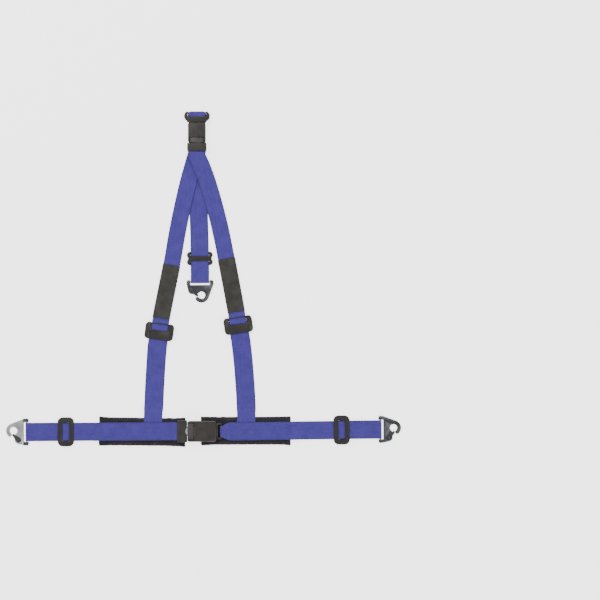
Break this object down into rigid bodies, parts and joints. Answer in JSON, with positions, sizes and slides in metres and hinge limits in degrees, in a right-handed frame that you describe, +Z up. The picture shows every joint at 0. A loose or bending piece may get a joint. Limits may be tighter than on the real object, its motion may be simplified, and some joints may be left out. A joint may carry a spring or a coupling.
{
  "type": "four-point racing harness",
  "caption": "Flat-laid strap harness with lap belt, padded hips, two shoulder straps and a rear strap, joined by press-button buckles and ending in sprung snap hooks.",
  "frame": {"origin": "middle of the laid-out harness's outline, on the floor that it lies on", "axes": "+X along the lap belt towards the hook on the buckle side, +Y from the lap belt up to the rear buckle, +Z up from the floor"},
  "size_m": [1.046, 0.8902, 0.0233],
  "materials": {
    "webbing": "tightly woven blue-violet polyester webbing, 49 mm wide, fine ribs across the width, rounded selvedges, slight sheen",
    "pad": "black nylon pad cover over foam, matt, softly puckered along its seam",
    "label": "plain dark woven sleeve over the shoulder webbing, matt, no lettering",
    "black_metal": "black powder-coated steel slider, satin, slightly brown in the light",
    "dark_steel": "dark zinc-nickel plated steel, low satin shine",
    "bright_steel": "bright plated steel, polished, faint pressing marks",
    "plastic": "black moulded buckle plastic, fine grain",
    "button": "grey-brown press button, slightly lighter than the housing",
    "spring_steel": "bright spring wire"
  },
  "bodies": {
    "right_side": {"right_lap_webbing": "webbing", "right_lap_return_webbing": "webbing", "right_pad": "pad", "right_shoulder_lower_webbing": "webbing", "right_shoulder_adjusting_webbing": "webbing", "right_shoulder_upper_webbing": "webbing", "right_shoulder_label": "label", "centre_buckle_lower_shell": "plastic", "centre_buckle_upper_shell": "plastic", "centre_buckle_frame": "black_metal", "centre_buckle_button_spring": "spring_steel", "centre_buckle_ejector_spring": "spring_steel", "rear_tongue_plate": "bright_steel", "rear_tongue_cover": "plastic"},
    "left_side": {"left_lap_webbing": "webbing", "left_lap_return_webbing": "webbing", "left_pad": "pad", "left_shoulder_lower_webbing": "webbing", "left_shoulder_adjusting_webbing": "webbing", "left_shoulder_upper_webbing": "webbing", "left_shoulder_label": "label", "centre_tongue_plate": "bright_steel", "centre_tongue_cover": "plastic"},
    "rear_assembly": {"rear_webbing": "webbing", "rear_return_webbing": "webbing", "top_slider": "black_metal", "rear_buckle_lower_shell": "plastic", "rear_buckle_upper_shell": "plastic", "rear_buckle_frame": "black_metal", "rear_buckle_button_spring": "spring_steel", "rear_buckle_ejector_spring": "spring_steel"},
    "rear_adjusting_slider": {"rear_slider": "black_metal"},
    "left_hook": {"left_hook_plate": "bright_steel", "left_hook_rivet": "bright_steel", "left_hook_spring": "spring_steel"},
    "left_gate": {"left_hook_gate": "dark_steel"},
    "right_hook": {"right_hook_plate": "dark_steel", "right_hook_rivet": "dark_steel", "right_hook_spring": "spring_steel"},
    "right_gate": {"right_hook_gate": "dark_steel"},
    "rear_hook": {"rear_hook_plate": "dark_steel", "rear_hook_rivet": "dark_steel", "rear_hook_spring": "spring_steel"},
    "rear_gate": {"rear_hook_gate": "dark_steel"},
    "left_lap_adjusting_slider": {"left_lap_slider": "black_metal"},
    "left_adjuster": {"left_adjuster_frame": "black_metal"},
    "left_lock_bar": {"left_adjuster_lock_bar": "dark_steel"},
    "right_lap_adjusting_slider": {"right_lap_slider": "black_metal"},
    "right_adjuster": {"right_adjuster_frame": "black_metal"},
    "right_lock_bar": {"right_adjuster_lock_bar": "dark_steel"},
    "centre_button": {"centre_buckle_button": "button"},
    "centre_latch": {"centre_buckle_latch": "dark_steel"},
    "centre_ejector": {"centre_buckle_ejector": "plastic"},
    "rear_button": {"rear_buckle_button": "button"},
    "rear_latch": {"rear_buckle_latch": "dark_steel"},
    "rear_ejector": {"rear_buckle_ejector": "plastic"}
  },
  "joints": [
    {"name": "left_side_release", "type": "hinge", "parent": "right_side", "child": "left_side", "pos_m": [-0.01746, 0.33923, 0], "axis": [0, 0, -1], "range_deg": [0, 14]},
    {"name": "rear_buckle_release", "type": "slide", "parent": "right_side", "child": "rear_assembly", "axis": [0, 1, 0], "range_m": [0, 0.03]},
    {"name": "left_hook_swivel", "type": "hinge", "parent": "left_side", "child": "left_hook", "pos_m": [-0.46796, -0.40427, 0.0034], "axis": [-0.0075, 1, 0], "range_deg": [-90, 90]},
    {"name": "right_hook_swivel", "type": "hinge", "parent": "right_side", "child": "right_hook", "pos_m": [0.46804, -0.39727, 0.0034], "axis": [0.0119, -0.9999, 0], "range_deg": [-90, 90]},
    {"name": "rear_hook_swivel", "type": "hinge", "parent": "rear_assembly", "child": "rear_hook", "pos_m": [-0.00946, -0.00677, 0.0034], "axis": [-1, -0.0067, 0], "range_deg": [-90, 90]},
    {"name": "left_gate_open", "type": "hinge", "parent": "left_hook", "child": "left_gate", "pos_m": [-0.4898, -0.42544, 0.0039], "axis": [0, 0, -1], "range_deg": [0, 25], "stiffness_Nm_per_rad": 0.02},
    {"name": "right_gate_open", "type": "hinge", "parent": "right_hook", "child": "right_gate", "pos_m": [0.49029, -0.41801, 0.0039], "axis": [0, 0, 1], "range_deg": [0, 25], "stiffness_Nm_per_rad": 0.02},
    {"name": "rear_gate_open", "type": "hinge", "parent": "rear_hook", "child": "rear_gate", "pos_m": [-0.03032, -0.02891, 0.0039], "axis": [0, 0, 1], "range_deg": [0, 25], "stiffness_Nm_per_rad": 0.02},
    {"name": "left_lap_slider_slide", "type": "slide", "parent": "left_side", "child": "left_lap_adjusting_slider", "axis": [-1, -0.0075, 0], "range_m": [-0.04, 0.05], "deforming": ["left_lap_return_webbing"]},
    {"name": "right_lap_slider_slide", "type": "slide", "parent": "right_side", "child": "right_lap_adjusting_slider", "axis": [0.9999, 0.0119, 0], "range_m": [-0.08, 0.05], "deforming": ["right_lap_return_webbing"]},
    {"name": "rear_slider_slide", "type": "slide", "parent": "rear_assembly", "child": "rear_adjusting_slider", "axis": [-0.0125, 0.9999, 0], "range_m": [-0.03, 0.008], "deforming": ["rear_return_webbing"]},
    {"name": "left_adjuster_slide", "type": "slide", "parent": "left_side", "child": "left_adjuster", "axis": [-0.1364, -0.9907, 0], "range_m": [0, 0.04], "deforming": ["left_shoulder_lower_webbing", "left_shoulder_adjusting_webbing"]},
    {"name": "left_lock_bar_release", "type": "slide", "parent": "left_adjuster", "child": "left_lock_bar", "axis": [0.1364, 0.9907, 0], "range_m": [0, 0.003], "deforming": ["left_shoulder_adjusting_webbing"]},
    {"name": "right_adjuster_slide", "type": "slide", "parent": "right_side", "child": "right_adjuster", "axis": [0.1524, -0.9883, 0], "range_m": [0, 0.04], "deforming": ["right_shoulder_lower_webbing", "right_shoulder_adjusting_webbing"]},
    {"name": "right_lock_bar_release", "type": "slide", "parent": "right_adjuster", "child": "right_lock_bar", "axis": [-0.1524, 0.9883, 0], "range_m": [0, 0.003], "deforming": ["right_shoulder_adjusting_webbing"]},
    {"name": "centre_button_press", "type": "slide", "parent": "right_side", "child": "centre_button", "axis": [1, 0, 0], "range_m": [0, 0.004], "stiffness_N_per_m": 900, "deforming": ["centre_buckle_button_spring"]},
    {"name": "rear_button_press", "type": "slide", "parent": "rear_assembly", "child": "rear_button", "axis": [0, 1, 0], "range_m": [0, 0.0035], "stiffness_N_per_m": 900, "deforming": ["rear_buckle_button_spring"]},
    {"name": "centre_latch_lift", "type": "hinge", "parent": "right_side", "child": "centre_latch", "pos_m": [0.00204, -0.40127, 0.0173], "axis": [0, 1, 0], "range_deg": [0, 5.1]},
    {"name": "rear_latch_lift", "type": "hinge", "parent": "rear_assembly", "child": "rear_latch", "pos_m": [-0.01746, 0.39723, 0.0106], "axis": [-1, 0, 0], "range_deg": [0, 5.1]},
    {"name": "centre_ejector_push", "type": "slide", "parent": "right_side", "child": "centre_ejector", "axis": [-1, 0, 0], "range_m": [0, 0.0075], "deforming": ["centre_buckle_ejector_spring"]},
    {"name": "rear_ejector_push", "type": "slide", "parent": "rear_assembly", "child": "rear_ejector", "axis": [0, -1, 0], "range_m": [0, 0.0062], "deforming": ["rear_buckle_ejector_spring"]}
  ],
  "couplings": [
    {"joint": "centre_latch_lift", "follows": "centre_button_press", "rad_per_m": 21.8},
    {"joint": "rear_latch_lift", "follows": "rear_button_press", "rad_per_m": 24.9},
    {"joint": "centre_ejector_push", "follows": "left_side_release", "m_per_rad": 0.03},
    {"joint": "rear_ejector_push", "follows": "rear_buckle_release", "ratio": 0.2}
  ]
}
